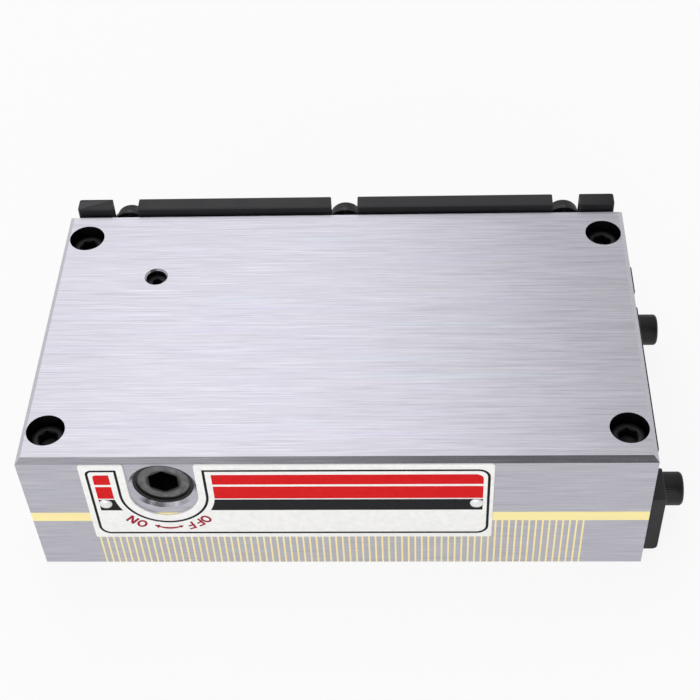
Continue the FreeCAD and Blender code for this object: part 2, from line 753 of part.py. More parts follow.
def make_end_stop():
    """Stop bar at the right end, with two slots open towards the base."""
    bar = keep("end_stop", doc.addObject("PartDesign::Body", "end_stop"))
    face = sketch(bar, "stop_face", "YZ_Plane",
                  ("stopbar_centre", "stopbar_lift + stopbar_height / 2", "stopbar_x"))
    rectangle(face, "stopbar_length", "stopbar_height")
    pad(bar, face, "stopbar_thickness")
    outer = measure("stopbar_x + stopbar_thickness")
    foot = measure("stopbar_lift")
    dress(bar, "Fillet", "stop_foot_rounding", "stopbar_rounding",
          lambda b: near(b.XMin, outer) and near(b.XMax, outer) and near(b.ZMax, foot))
    for k, y in enumerate(STOPBAR_Y, start=1):
        slot = sketch(bar, f"stop_slot_{k}", "YZ_Plane",
                      (y, "stopbar_screw_z", "stopbar_x + stopbar_thickness"))
        slot_mouth(slot, "stopbar_slot_width", "stopbar_top - stopbar_screw_z")
        pocket(bar, slot, "stopbar_thickness")


make_housing()
make_separator_band()
make_pole_plate()
make_clamp_screws()
make_shaft()
make_retaining_screw()
make_core()
make_yoke()
make_guides()
make_nameplate()
make_rear_rail()
make_rail_fasteners()
make_end_stop()
make_stop_fasteners()
doc.recompute()

# ---------------------------------------------------------------- tests and files
for item in doc.Objects:
    if {"Invalid", "Error"} & set(item.State):
        raise RuntimeError(f"{item.Label} did not compute: {item.State}")
for item in nodes:
    if item.Shape.isNull() or not item.Shape.isValid() or not item.Shape.Solids:
        raise RuntimeError(f"{item.Label} has no valid solid")
os.makedirs("parts", exist_ok=True)
for item in nodes:
    item.Shape.exportStep(f"parts/{item.Label}.step")
    print(f"{item.Label}: {len(item.Shape.Solids)} solids, {item.Shape.Volume / 1000:.2f} cm3")
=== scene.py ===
import json
from math import cos, pi, radians, sin, sqrt

import bmesh
import bpy
from mathutils import Matrix, Vector


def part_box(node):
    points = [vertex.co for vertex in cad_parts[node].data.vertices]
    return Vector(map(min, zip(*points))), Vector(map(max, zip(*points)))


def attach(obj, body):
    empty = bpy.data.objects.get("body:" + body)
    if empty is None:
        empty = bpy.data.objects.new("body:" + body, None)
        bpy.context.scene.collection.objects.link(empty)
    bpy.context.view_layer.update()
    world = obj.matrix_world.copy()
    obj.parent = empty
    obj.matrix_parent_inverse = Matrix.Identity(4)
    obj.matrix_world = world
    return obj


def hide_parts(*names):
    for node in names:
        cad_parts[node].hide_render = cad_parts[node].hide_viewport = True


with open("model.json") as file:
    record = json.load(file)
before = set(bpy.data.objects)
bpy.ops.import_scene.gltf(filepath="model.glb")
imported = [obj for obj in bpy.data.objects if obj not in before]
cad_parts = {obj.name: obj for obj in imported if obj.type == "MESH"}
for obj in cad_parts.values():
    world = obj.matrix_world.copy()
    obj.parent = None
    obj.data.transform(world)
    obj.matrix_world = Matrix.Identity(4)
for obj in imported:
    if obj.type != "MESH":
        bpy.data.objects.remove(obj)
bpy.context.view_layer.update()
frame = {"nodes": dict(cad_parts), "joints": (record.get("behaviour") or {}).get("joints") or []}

# The block lies on its work face at z = 0, with the back rail at +Y and the end stop at +X.
MM = 0.001
UP, BACK, RIGHT = Vector((0, 0, 1)), Vector((0, 1, 0)), Vector((1, 0, 0))
WORK_FACE_Z = 0.0
SHAFT_AXIS = Vector(next(j["pos_m"] for j in frame["joints"] if j["name"] == "shaft_turn"))


# ---------------------------------------------------------------- meshes

SAME_CORNER = 0.001 * MM      # corners of a CAD mesh closer than this are one
FLAT_ANGLE = radians(0.4)     # faces that meet at less than this are one flat face
SOFTEN_OVER = radians(25)     # edges that turn more than this get a bevel
BEVELLED_SHARP = 20           # degrees over which a bevelled piece's shading breaks
BEVEL_SEGMENTS, BEVEL_PROFILE = 2, 0.5


def as_object(name, mesh, body, material, sharp=32):
    """Links a mesh as a piece that rides on a body. Edges over sharp degrees stay crisp."""
    for face in mesh.polygons:
        face.use_smooth = True
    mesh.set_sharp_from_angle(angle=radians(sharp))
    mesh.materials.clear()
    mesh.materials.append(material)
    piece = bpy.data.objects.new(name, mesh)
    bpy.context.scene.collection.objects.link(piece)
    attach(piece, body)
    return piece


def from_faces(name, points, faces, body, material, sharp=32):
    """A piece from points and faces, with its normals turned outward."""
    mesh = bpy.data.meshes.new(name)
    mesh.from_pydata([tuple(p) for p in points], [], faces)
    work = bmesh.new()
    work.from_mesh(mesh)
    bmesh.ops.recalc_face_normals(work, faces=work.faces)
    work.to_mesh(mesh)
    work.free()
    return as_object(name, mesh, body, material, sharp)


def clean_copy(node):
    """A bmesh of a CAD node with its split corners joined and flat faces whole."""
    work = bmesh.new()
    work.from_mesh(frame["nodes"][node].data)
    bmesh.ops.remove_doubles(work, verts=work.verts, dist=SAME_CORNER)
    bmesh.ops.dissolve_limit(work, angle_limit=FLAT_ANGLE, verts=work.verts, edges=work.edges)
    return work


def solids(node):
    """The boxes of the separate solids of a CAD node, in order of X and then Y."""
    work = clean_copy(node)
    left = set(work.verts)
    boxes = []
    while left:
        group = [left.pop()]
        for vert in group:
            for edge in vert.link_edges:
                other = edge.other_vert(vert)
                if other in left:
                    left.discard(other)
                    group.append(other)
        lo = Vector([min(v.co[i] for v in group) for i in range(3)])
        hi = Vector([max(v.co[i] for v in group) for i in range(3)])
        boxes.append((lo, hi))
    work.free()
    return sorted(boxes, key=lambda b: (round(b[0].x, 4), round(b[0].y, 4)))


def softened(node, body, material, width):
    """Replaces a CAD node with the same shape, its edges broken by a small bevel."""
    work = clean_copy(node)
    edges = [e for e in work.edges if e.is_manifold and e.calc_face_angle() > SOFTEN_OVER]
    bmesh.ops.bevel(work, geom=edges, offset=width, segments=BEVEL_SEGMENTS, affect="EDGES",
                    profile=BEVEL_PROFILE, clamp_overlap=True)
    mesh = bpy.data.meshes.new(node + "_finish")
    work.to_mesh(mesh)
    work.free()
    piece = as_object(node + "_finish", mesh, body, material, BEVELLED_SHARP)
    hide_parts(node)
    return piece


# ---------------------------------------------------------------- turned pieces

ROUND, HEX, KNURL = "round", "hex", "knurl"
STEPS = 96                    # corners of a ring
KNURL_DEPTH = 0.09 * MM
NEAR_AXIS = 0.2 * MM          # radius of the ring that closes a tip or a socket's floor

# M6 socket head cap screw
HEAD_WIDE = 10.0 * MM
CAP_HIGH, LOW_CAP_HIGH = 6.0 * MM, 4.0 * MM
THREAD_CORE, THREAD_CREST, PITCH = 2.45 * MM, 2.93 * MM, 1.0 * MM
CREST_SHARES = (0.45, 0.55)   # where in a pitch the crest starts and ends
TIP_IN, TIP_UP = 0.3 * MM, 0.4 * MM
THREAD_START, PLAIN_SHANK, RUN_OUT = 0.6 * MM, 1.5 * MM, 0.2 * MM
SEAT_IN, SEAT_UP, KNURL_IN = 0.35 * MM, 0.3 * MM, 0.02 * MM
# the head's outline: how far each ring stands in from its radius, and lies below its top
HEAD_TOP = ((KNURL, KNURL_IN, 0.75 * MM), (ROUND, 0.12 * MM, 0.62 * MM),
            (ROUND, 0.35 * MM, 0.22 * MM), (ROUND, 0.75 * MM, 0.0))
# the socket's mouth: each ring's radius, or half its width across flats, and its depth
SOCKET_MOUTH = ((ROUND, 3.05 * MM, 0.0), (ROUND, 2.95 * MM, 0.05 * MM),
                (HEX, 2.52 * MM, 0.45 * MM))
SOCKET_HALF, SOCKET_SHARE = 2.5 * MM, 0.55      # the depth is a share of the head's height
DRILL_RADIUS, DRILL_STEP, DRILL_POINT = 2.3 * MM, 0.1 * MM, 0.9 * MM

WASHER_HOLE, WASHER_CHAMFER = 3.2 * MM, 0.18 * MM


def ring_radius(shape, radius, angle):
    """The radius of a ring at an angle. A hex ring is given by half its width across flats."""
    if shape == HEX:
        return radius / cos((angle + pi / 6) % (pi / 3) - pi / 6)
    if shape == KNURL:
        step = round(angle / (2 * pi) * STEPS) % 2
        return radius - step * KNURL_DEPTH
    return radius


def ring_points(rings, base, axis, spin=0.0):
    """The corners of rings (shape, radius, height) stacked along an axis from base."""
    place = Matrix.Translation(base) @ axis.to_track_quat("Z", "Y").to_matrix().to_4x4()
    points = []
    for shape, radius, height in rings:
        for k in range(STEPS):
            angle = 2 * pi * k / STEPS
            size = ring_radius(shape, radius, angle)
            turn = angle + spin
            points.append(place @ Vector((size * cos(turn), size * sin(turn), height)))
    return points


def ring_wall(first, second):
    """The faces between two rings, given by their places in the stack."""
    faces = []
    for k in range(STEPS):
        after = (k + 1) % STEPS
        faces.append((first * STEPS + k, first * STEPS + after,
                      second * STEPS + after, second * STEPS + k))
    return faces


def turned(name, rings, base, axis, body, material, spin=0.0, sharp=32):
    """A solid built up from rings (shape, radius, height) along an axis from base."""
    faces = []
    for j in range(len(rings) - 1):
        faces += ring_wall(j, j + 1)
    last = (len(rings) - 1) * STEPS
    faces.append(tuple(range(STEPS))[::-1])
    faces.append(tuple(range(last, last + STEPS)))
    points = ring_points(rings, base, axis, spin)
    return from_faces(name, points, faces, body, material, sharp)


def cap_screw(name, lo, hi, axis, body, head_high, spin):
    """An M6 socket head cap screw: threaded shank, knurled head and hex socket."""
    along = max(range(3), key=lambda i: abs(axis[i]))
    tip, head = Vector((lo + hi) / 2), HEAD_WIDE / 2
    tip[along] = lo[along] if axis[along] > 0 else hi[along]
    whole = hi[along] - lo[along]
    shank = whole - head_high
    rings = [(ROUND, NEAR_AXIS, 0.0), (ROUND, THREAD_CORE - TIP_IN, 0.0),
             (ROUND, THREAD_CORE, TIP_UP)]
    height = THREAD_START
    while height + PITCH < shank - PLAIN_SHANK:
        rings.append((ROUND, THREAD_CORE, height))
        rings += [(ROUND, THREAD_CREST, height + share * PITCH) for share in CREST_SHARES]
        height += PITCH
    rings += [(ROUND, THREAD_CREST, height + RUN_OUT), (ROUND, THREAD_CREST, shank),
              (ROUND, head - SEAT_IN, shank), (KNURL, head - KNURL_IN, shank + SEAT_UP)]
    rings += [(shape, head - inward, whole - down) for shape, inward, down in HEAD_TOP]
    rings += [(shape, radius, whole - down) for shape, radius, down in SOCKET_MOUTH]
    socket_floor = whole - SOCKET_SHARE * head_high
    rings += [(HEX, SOCKET_HALF, socket_floor), (ROUND, DRILL_RADIUS, socket_floor - DRILL_STEP),
              (ROUND, NEAR_AXIS, socket_floor - DRILL_POINT)]
    return turned(name, rings, tip, axis, body, BLACK_OXIDE, spin)


def washer(name, lo, hi, axis, body, material):
    """A flat washer with turned chamfers."""
    along = max(range(3), key=lambda i: abs(axis[i]))
    across = (along + 1) % 3
    thick = hi[along] - lo[along]
    outer, inner, edge = (hi[across] - lo[across]) / 2, WASHER_HOLE, WASHER_CHAMFER
    base = (lo + hi) / 2
    base[along] = lo[along]
    outline = [(inner, edge), (inner + edge, 0), (outer - edge, 0), (outer, edge),
               (outer, thick - edge), (outer - edge, thick), (inner + edge, thick),
               (inner, thick - edge)]
    rings = [(ROUND, radius, height) for radius, height in outline]
    faces = []
    for j in range(len(rings)):
        faces += ring_wall(j, (j + 1) % len(rings))
    return from_faces(name, ring_points(rings, base, axis), faces, body, material)


# ---------------------------------------------------------------- materials

def colour(red, green, blue):
    """A colour written as 0 to 255 on screen, as the linear values a shader takes."""
    def linear(value):
        value /= 255
        return value / 12.92 if value <= 0.04045 else ((value + 0.055) / 1.055) ** 2.4
    return (linear(red), linear(green), linear(blue), 1.0)


class NodeTree:
    """A node tree with short names for adding and joining nodes."""

    def __init__(self, tree, output):
        self.tree = tree
        self.tree.nodes.clear()
        self.output = self.node(output)

    def join(self, source, target):
        self.tree.links.new(source, target)

    def feed(self, value, target):
        """Gives a socket a number, colour or vector, or joins another socket to it."""
        if isinstance(value, (int, float, tuple, Vector)):
            target.default_value = value
        elif value is not None:
            self.join(value, target)

    def node(self, kind, **settings):
        made = self.tree.nodes.new("ShaderNode" + kind)
        for key, value in settings.items():
            setattr(made, key, value)
        return made

    def math(self, operation, first, second=None):
        made = self.node("Math", operation=operation)
        self.feed(first, made.inputs[0])
        self.feed(second, made.inputs[1])
        return made.outputs[0]

    def vectors(self, operation, first, second=None, output="Vector"):
        made = self.node("VectorMath", operation=operation)
        self.feed(first, made.inputs[0])
        self.feed(second, made.inputs[1])
        return made.outputs[output]

    def spread(self, source, low, high, start=0.0, end=1.0, **settings):
        """Maps start to end of a source onto low to high."""
        made = self.node("MapRange", **settings)
        for index, value in enumerate((start, end, low, high)):
            made.inputs[index + 1].default_value = value
        self.join(source, made.inputs[0])
        return made.outputs[0]

    def blend(self, factor, first, second):
        """Mixes two surfaces or backgrounds."""
        made = self.node("MixShader")
        for index, value in enumerate((factor, first, second)):
            self.feed(value, made.inputs[index])
        return made.outputs[0]


class Shader(NodeTree):
    """A material on one principled surface."""

    def __init__(self, name):
        self.material = bpy.data.materials.new(name)
        self.material.use_nodes = True
        super().__init__(self.material.node_tree, "OutputMaterial")
        self.surface = self.node("BsdfPrincipled")
        self.join(self.surface.outputs[0], self.output.inputs["Surface"])
        self.material.diffuse_color = (0.5, 0.5, 0.5, 1)

    def set(self, **values):
        for key, value in values.items():
            self.surface.inputs[key.replace("_", " ")].default_value = value

    def here(self):
        return self.node("TexCoord").outputs["Object"]

    def facing(self):
        return self.node("NewGeometry").outputs["Normal"]

    def noise(self, stretch, detail=3.0, rough=0.6):
        """Noise at object coordinates, stretch giving its features per metre along X, Y and Z."""
        made = self.node("TexNoise")
        made.inputs["Scale"].default_value = 1.0
        made.inputs["Detail"].default_value = detail
        made.inputs["Roughness"].default_value = rough
        self.join(self.vectors("MULTIPLY", self.here(), stretch), made.inputs["Vector"])
        return made.outputs["Fac"]

    def cloud(self, features, detail=3.0):
        return self.noise((features, features, features), detail)

    def ramp(self, source, stops):
        made = self.node("ValToRGB")
        steps = made.color_ramp.elements
        for step, (position, shade) in zip(steps, stops):
            step.position, step.color = position, shade
        self.join(source, made.inputs["Fac"])
        return made.outputs["Color"]

    def mix(self, factor, first, second):
        """Mixes two colours."""
        made = self.node("Mix", data_type="RGBA", blend_type="MIX")
        for index, value in ((0, factor), (6, first), (7, second)):
            self.feed(value, made.inputs[index])
        return made.outputs[2]

    def pick(self, factor, first, second):
        """Mixes two numbers."""
        made = self.node("Mix", data_type="FLOAT")
        for index, value in ((0, factor), (2, first), (3, second)):
            self.feed(value, made.inputs[index])
        return made.outputs[0]

    def size(self, vector, part):
        """The size of one part (0, 1 or 2) of a vector."""
        parts = self.node("SeparateXYZ")
        self.join(vector, parts.inputs[0])
        return self.math("ABSOLUTE", parts.outputs[part])

    def below(self, vector, *limits):
        """1 where the size of each part of a vector is under its limit. None is no limit."""
        under = [self.math("LESS_THAN", self.size(vector, part), limit)
                 for part, limit in enumerate(limits) if limit is not None]
        return self.all_of(*under)

    def all_of(self, first, *others):
        for other in others:
            first = self.math("MULTIPLY", first, other)
        return first

    def bump(self, source, strength, distance):
        made = self.node("Bump")
        made.inputs["Strength"].default_value = strength
        made.inputs["Distance"].default_value = distance
        self.join(source, made.inputs["Height"])
        self.join(made.outputs[0], self.surface.inputs["Normal"])

    def base(self, source):
        self.join(source, self.surface.inputs["Base Color"])

    def rough(self, source):
        self.join(source, self.surface.inputs["Roughness"])


# Limits on the parts of a unit normal: a face across X, an upright one and a sloping one.
END_FACE, UPRIGHT, SLOPING = 0.8, 0.3, 0.9
# Inside these distances from the block's middle, an upright face is the wall of a hole, which
# gets painted shade.
HOLE_WALLS_X, HOLE_WALLS_Y = 87.3 * MM, 48.3 * MM
CHAMFER_ROUGH = 0.17
# Distances from the shaft's axis: its grey ring starts and ends between each pair.
RING_IN, RING_FULL, RING_FADE, RING_OUT = 4.5 * MM, 5.3 * MM, 7.0 * MM, 7.35 * MM


def grinding(shader, fine, long):
    """Grinding lines along X on most faces, and along Y on the faces that look along X."""
    lines_x = shader.noise((long, fine, fine), detail=5.0, rough=0.72)
    lines_y = shader.noise((fine, long, fine), detail=5.0, rough=0.72)
    side = shader.math("GREATER_THAN", shader.size(shader.facing(), 0), END_FACE)
    return shader.pick(side, lines_x, lines_y)


def make_ground_steel(name, dark, light):
    """Surface-ground steel: close fine lines, a few broader streaks and a faint temper tint.

    The chamfers are smoother, and the walls of the holes inside the block are painted dark grey
    as shade in the recesses.
    """
    shader = Shader(name)
    fine = grinding(shader, fine=3300.0, long=52.0)
    streak = grinding(shader, fine=900.0, long=24.0)
    tint = shader.noise((14.0, 330.0, 330.0), detail=2.0)
    body = shader.ramp(fine, [(0.30, dark), (0.70, light)])
    body = shader.mix(shader.spread(streak, 0.0, 0.45, 0.58, 0.80), body, dark)
    body = shader.mix(shader.spread(streak, 0.35, 0.0, 0.18, 0.40), body, colour(250, 250, 252))
    body = shader.mix(shader.spread(tint, 0.0, 0.22, 0.62, 0.80), body, colour(196, 178, 222))
    body = shader.mix(shader.spread(tint, 0.20, 0.0, 0.22, 0.38), body, colour(176, 206, 216))
    facing = shader.facing()
    # Painted shade: upright walls of the holes inside the block are coloured dark grey, standing
    # in for the shade in these recesses.
    painted_hole_shade = shader.all_of(shader.below(shader.here(), HOLE_WALLS_X, HOLE_WALLS_Y),
                         shader.below(facing, None, None, UPRIGHT))
    shader.base(shader.mix(painted_hole_shade, body, colour(34, 33, 34)))
    chamfer = shader.below(facing, SLOPING, SLOPING, SLOPING)
    shader.rough(shader.pick(chamfer, shader.spread(fine, 0.30, 0.44, 0.2, 0.8), CHAMFER_ROUGH))
    shader.set(Metallic=0.8, Specular_IOR_Level=0.5)
    shader.bump(fine, 0.16, 0.04 * MM)
    return shader.material


def make_shaft_end(name):
    """The shaft's end: a black rim, a mottled grey ring inside it, and a black socket."""
    shader = Shader(name)
    from_axis = shader.vectors("SUBTRACT", shader.here(), SHAFT_AXIS)
    flat = shader.vectors("MULTIPLY", from_axis, (1, 0, 1))
    reach = shader.vectors("LENGTH", flat, output="Value")
    cloud = shader.cloud(520.0, detail=5.0)
    grey = shader.ramp(cloud, [(0.30, colour(62, 62, 64)), (0.72, colour(118, 118, 120))])
    ring = shader.all_of(shader.spread(reach, 0.0, 1.0, RING_IN, RING_FULL),
                         shader.spread(reach, 1.0, 0.0, RING_FADE, RING_OUT))
    shader.base(shader.mix(ring, colour(5, 5, 6), grey))
    shader.rough(shader.spread(cloud, 0.30, 0.50, 0.2, 0.8))
    shader.set(Metallic=0.35)
    shader.bump(cloud, 0.3, 0.05 * MM)
    return shader.material


def make_brass(name):
    """Ground brass, pale and slightly uneven."""
    shader = Shader(name)
    fine = grinding(shader, fine=2200.0, long=16.0)
    body = shader.ramp(fine, [(0.25, colour(250, 230, 150)), (0.75, colour(255, 243, 184))])
    stain = shader.spread(shader.cloud(60.0), 0.0, 0.25, 0.5, 0.8)
    shader.base(shader.mix(stain, body, colour(250, 214, 150)))
    shader.rough(shader.spread(fine, 0.34, 0.48, 0.2, 0.8))
    shader.set(Metallic=0.25)
    shader.bump(fine, 0.12, 0.03 * MM)
    return shader.material


def make_black_oxide(name, low, high, glossy):
    """Black-oxide steel: nearly black, satin, mottled, with slightly brighter wear."""
    shader = Shader(name)
    cloud = shader.cloud(170.0, detail=5.0)
    grain = shader.cloud(4200.0, detail=2.0)
    pointed = shader.node("NewGeometry").outputs["Pointiness"]
    wear = shader.spread(pointed, 0.0, 0.5, 0.53, 0.62)
    body = shader.ramp(cloud, [(0.30, low), (0.75, high)])
    shader.base(shader.mix(wear, body, colour(84, 84, 88)))
    shader.rough(shader.spread(cloud, glossy, glossy + 0.18, 0.2, 0.8))
    shader.set(Metallic=0.1, Specular_IOR_Level=0.26)
    shader.bump(grain, 0.25, 0.03 * MM)
    return shader.material


def make_plating(name, features, dark, light, gloss, dull, metallic, relief, depth):
    """Plated metal: one mottled colour over fine, even relief."""
    shader = Shader(name)
    cloud = shader.cloud(features, detail=4.0)
    shader.base(shader.ramp(cloud, [(0.3, dark), (0.7, light)]))
    shader.rough(shader.spread(cloud, gloss, dull))
    shader.set(Metallic=metallic)
    shader.bump(cloud, relief, depth)
    return shader.material


def make_print(name, shade, worn, rough=0.42):
    """Screen-printed enamel on the plate: one ink, very slightly uneven."""
    shader = Shader(name)
    cloud = shader.cloud(520.0)
    shader.base(shader.ramp(cloud, [(0.35, shade), (0.85, worn)]))
    shader.rough(shader.spread(cloud, rough - 0.05, rough + 0.08))
    shader.set(Metallic=0.0, Specular_IOR_Level=0.12)
    shader.bump(cloud, 0.05, 0.02 * MM)
    return shader.material


GROUND = make_ground_steel("ground_steel", colour(158, 156, 166), colour(202, 201, 209))
BRASS = make_brass("brass")
BLACK_OXIDE = make_black_oxide("black_oxide", colour(13, 13, 14), colour(32, 32, 34), 0.34)
BLACKENED = make_black_oxide("blackened_bar", colour(6, 6, 7), colour(18, 18, 21), 0.40)
SHAFT_BLACK = make_shaft_end("shaft_black")
ZINC = make_plating("zinc", 420.0, colour(206, 206, 208), colour(244, 244, 242),
                    gloss=0.25, dull=0.42, metallic=0.7, relief=0.1, depth=0.04 * MM)
MAGNET = make_plating("magnet_nickel", 300.0, colour(138, 136, 134), colour(176, 174, 170),
                      gloss=0.28, dull=0.5, metallic=0.85, relief=0.12, depth=0.03 * MM)
WHITE = make_print("enamel_white", colour(246, 246, 244), colour(234, 234, 232), 0.38)
RED = make_print("ink_red", colour(208, 8, 16), colour(218, 20, 26))
BLACK = make_print("ink_black", colour(10, 11, 14), colour(22, 24, 28))
CRIMSON = make_print("ink_crimson", colour(150, 16, 44), colour(160, 30, 56))

# The looks of the CAD nodes that stay as they are.
CAD_LOOKS = {
    "housing": GROUND,
    "separator_band": BRASS,
    "pole_end_blocks": GROUND,
    "pole_laminations": GROUND,
    "pole_separators": BRASS,
    "retaining_screw": BLACK_OXIDE,
    "core_frame": BRASS,
    "core_pole_bars": GROUND,
    "core_magnets": MAGNET,
    "drive_yoke": BRASS,
    "yoke_screws": ZINC,
    "core_guides": BRASS,
}
for node, look in CAD_LOOKS.items():
    data = frame["nodes"][node].data
    if not data.materials:
        data.materials.append(look)
    for index in range(len(data.materials)):
        data.materials[index] = look


# ---------------------------------------------------------------- fasteners and bars

SOCKET_TURNS = (14, 38, 3, 51)    # degrees that each screw of a set happens to stop at
BAR_EDGE, SHAFT_EDGE = 0.35 * MM, 0.12 * MM

RIVET_HIGH, RIVET_TIP, RIVET_SHANK = 0.8 * MM, 0.9 * MM, 0.95 * MM
DOME_RINGS, DOME_TIP, DOME_SHARP = 8, 0.05 * MM, 50


def fasteners(node, stem, axis, head_high):
    """Cap screws in place of the screws of a CAD node."""
    for index, (lo, hi) in enumerate(solids(node)):
        spin = radians(SOCKET_TURNS[index])
        made = cap_screw(f"{stem}_{index + 1}", lo, hi, axis, "block", head_high, spin)
        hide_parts(node)


def washers(node, stem, axis, material):
    """Turned washers in place of the washers of a CAD node."""
    for index, (lo, hi) in enumerate(solids(node)):
        made = washer(f"{stem}_{index + 1}", lo, hi, axis, "block", material)
        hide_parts(node)


def rivets():
    """Domed rivets in place of the plate's rivets, whose heads look along -Y."""
    for index, (lo, hi) in enumerate(solids("nameplate_rivets")):
        radius = (hi.x - lo.x) / 2
        seat = hi.y - lo.y - RIVET_HIGH
        rings = [(ROUND, RIVET_TIP, 0.0), (ROUND, RIVET_SHANK, seat)]
        for step in range(DOME_RINGS + 1):
            slope = step / DOME_RINGS * pi / 2
            rings.append((ROUND, max(radius * cos(slope), DOME_TIP),
                          seat + RIVET_HIGH * sin(slope)))
        base = Vector(((lo.x + hi.x) / 2, hi.y, (lo.z + hi.z) / 2))
        made = turned(f"plate_rivet_{index + 1}", rings, base, -BACK, "block", ZINC,
                      sharp=DOME_SHARP)
        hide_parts("nameplate_rivets")


fasteners("clamp_screws", "clamp_screw", UP, CAP_HIGH)
fasteners("rear_rail_screws", "rail_screw", BACK, LOW_CAP_HIGH)
fasteners("end_stop_screws", "stop_screw", RIGHT, CAP_HIGH)
washers("rear_rail_washers", "rail_washer", BACK, BLACK_OXIDE)
washers("end_stop_washers", "stop_washer", RIGHT, ZINC)
softened("rear_rail", "back_rail", BLACKENED, BAR_EDGE)
softened("end_stop", "stop_bar", BLACKENED, BAR_EDGE)
softened("actuating_shaft", "shaft", SHAFT_BLACK, SHAFT_EDGE)
rivets()


# ---------------------------------------------------------------- nameplate and its printing

plate_lo, plate_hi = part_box("nameplate")
SWITCH_ASIDE, SWITCH_DROP = 0.1 * MM, 13.5 * MM
SWITCH = Vector((SHAFT_AXIS.x - SWITCH_ASIDE, 0, plate_hi.z - SWITCH_DROP))
INK_RISE, INK_SINK = 0.03 * MM, 0.01 * MM
INK_FRONT, INK_BACK = plate_lo.y - INK_RISE, plate_lo.y + INK_SINK
SHARPEST_MITRE = 0.35

# The printed frame and bands, in millimetres from the switch's centre: the frame's sides, its
# U round the switch and its corner radii, and where the bands start and end.
LINE_LEFT, LINE_RIGHT, LINE_LOW, LINE_TOP = -20.2, 90.3, -17.5, 11.2
LINE_U, LINE_CORNER, LINE_SMALL_CORNER, LINE_WIDE = 12.15, 3.0, 1.6, 0.74
BAND_START, BAND_RIGHT, BAND_ROUND = 14.15, 88.8, 2.2
BLOCK_LEFT, BLOCK_ROUND = -18.7, 1.1
# each band: name, top, foot, ink, and whether its outer corner is round
BANDS = (("red_1", 9.4, 5.1, RED, True), ("red_2", 4.15, -1.25, RED, False),
         ("black", -1.75, -6.7, BLACK, False))

# Letters as outlines on a unit square: width across, height up.
LETTER_N = [(-0.02, 0), (0.2, 0), (0.2, 0.62), (0.56, 0), (0.8, 0), (0.8, 1), (0.58, 1),
            (0.58, 0.38), (0.22, 1), (-0.02, 1)]
LETTER_F = [(0.05, 0), (0.25, 0), (0.25, 0.41), (0.62, 0.41), (0.62, 0.58), (0.25, 0.58),
            (0.25, 0.83), (0.7, 0.83), (0.7, 1), (0.05, 1)]
LETTER_O = [(0.4 + 0.33 * cos(2 * pi * k / 32), 0.5 + 0.41 * sin(2 * pi * k / 32))
            for k in range(32)]
LETTER_MIDDLE, O_STROKE = 0.4, 0.21
LETTER_HIGH, LETTER_BASE = 3.3 * MM, 13.6 * MM
# each letter: name, shape, and its degrees from straight below the switch
LETTERS = (("off_o", "O", 44.2), ("off_f1", "F", 34.0), ("off_f2", "F", 23.0),
           ("on_o", "O", -31.2), ("on_n", "N", -43.2))

# The arrow, in millimetres and degrees: a line that swells in its middle, with two heads.
ARROW_RADIUS, ARROW_CENTRE = 6.9, (-0.1, -8.3)
ARROW_FROM, ARROW_SWEEP, ARROW_STEPS = -118, 54, 20
ARROW_THIN, ARROW_SWELL, TIP_OUT = 0.45, 0.35, 0.1
# each head: name, the angles of its heel and tip, and half its width
ARROW_HEADS = (("on", -116, -129, 0.85), ("off", -65, -55, 0.65))

# The plate itself, in millimetres: corners, and the U cut with the lips at its mouth.
PLATE_CORNER, CUT, CUT_RISE, LIP, PLATE_EDGE = 0.7, 9.65, 0.5, 0.8, 0.12 * MM


def metres(path):
    return [(u * MM, v * MM) for u, v in path]


def arc(radius, start, end, steps, centre=(0.0, 0.0)):
    """Points on an arc, from start to end in degrees."""
    return [(centre[0] + radius * cos(radians(start + (end - start) * k / steps)),
             centre[1] + radius * sin(radians(start + (end - start) * k / steps)))
            for k in range(steps + 1)]


def on_plate(u, v, front):
    """A point of the ink: u along X, v along Z, in metres from the switch's centre."""
    return (SWITCH.x + u, INK_FRONT if front else INK_BACK, SWITCH.z + v)


def printed(name, outline, material):
    """A thin slab of ink with the given outline, in metres from the switch's centre."""
    count = len(outline)
    points = [on_plate(u, v, True) for u, v in outline]
    points += [on_plate(u, v, False) for u, v in outline]
    faces = [tuple(range(count)), tuple(range(2 * count - 1, count - 1, -1))]
    for k in range(count):
        after = (k + 1) % count
        faces.append((k, after, count + after, count + k))
    return from_faces(name, points, faces, "block", material)


def ribbon(name, path, width, material, closed=True):
    """A line of ink along a path, mitred at its corners. width may change along the path."""
    count = len(path)
    widths = width if isinstance(width, list) else [width] * count
    left, right = [], []
    for k in range(count):
        here = Vector(path[k])
        ways = []
        if closed or k:
            ways.append((here - Vector(path[k - 1])).normalized())
        if closed or k < count - 1:
            ways.append((Vector(path[(k + 1) % count]) - here).normalized())
        way = sum(ways, Vector((0, 0))).normalized()
        across = Vector((-way.y, way.x))
        lean = across.dot(Vector((-ways[0].y, ways[0].x)))
        reach = widths[k] / 2 / max(SHARPEST_MITRE, lean)
        left.append(here + across * reach)
        right.append(here - across * reach)
    points, faces = [], []
    for front in (True, False):
        for row in (left, right):
            points += [on_plate(p.x, p.y, front) for p in row]
    for k in range(count if closed else count - 1):
        after = (k + 1) % count
        faces.append((k, after, count + after, count + k))
        faces.append((2 * count + k, 2 * count + after, 3 * count + after, 3 * count + k))
        faces.append((k, after, 2 * count + after, 2 * count + k))
        faces.append((count + k, count + after, 3 * count + after, 3 * count + k))
    if not closed:
        for k in (0, count - 1):
            faces.append((k, count + k, 3 * count + k, 2 * count + k))
    return from_faces(name, points, faces, "block", material)


